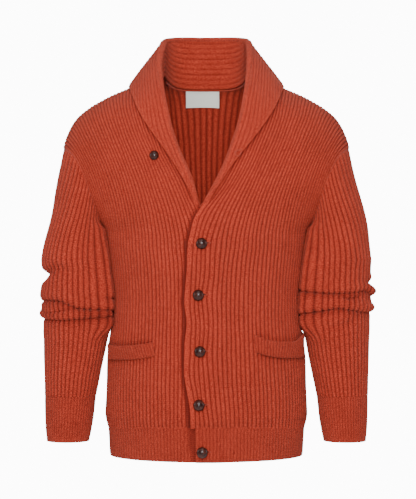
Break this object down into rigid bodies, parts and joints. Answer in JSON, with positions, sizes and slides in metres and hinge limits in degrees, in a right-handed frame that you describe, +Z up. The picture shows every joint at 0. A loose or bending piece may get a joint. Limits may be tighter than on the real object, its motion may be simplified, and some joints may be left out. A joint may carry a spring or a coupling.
{
  "type": "shawl collar cardigan",
  "caption": "Heavy rib-knit wool cardigan with a deep folded shawl collar, buttoned front, welt pockets, finer ribbed hem and cuffs, in a hollow worn pose.",
  "frame": {"origin": "middle of the neck opening, at the height where the collar meets the shoulders", "axes": "+Z up along the wearer, -Y out of the buttoned front, +X towards the wearer's left"},
  "size_m": [0.6252, 0.2688, 0.7809],
  "materials": {
    "wool_rib": "matte, softly napped wide-rib wool knit",
    "wool_fine_rib": "matte fine-rib wool knit",
    "button_leather": "polished dark leather",
    "label_cloth": "smooth woven tape, bare"
  },
  "bodies": {
    "root": {"back": "wool_rib", "front_left": "wool_rib", "front_right": "wool_rib", "sleeve_left": "wool_rib", "sleeve_right": "wool_rib", "collar": "wool_rib", "hem_back": "wool_fine_rib", "hem_left": "wool_fine_rib", "hem_right": "wool_fine_rib", "cuff_left": "wool_fine_rib", "cuff_right": "wool_fine_rib", "pocket_welt_left": "wool_fine_rib", "pocket_welt_right": "wool_fine_rib", "pocket_bag_left": "wool_rib", "pocket_bag_right": "wool_rib", "neck_label": "label_cloth", "button_1": "button_leather", "button_2": "button_leather", "button_3": "button_leather", "button_4": "button_leather", "button_5": "button_leather", "button_chest": "button_leather"}
  },
  "joints": []
}
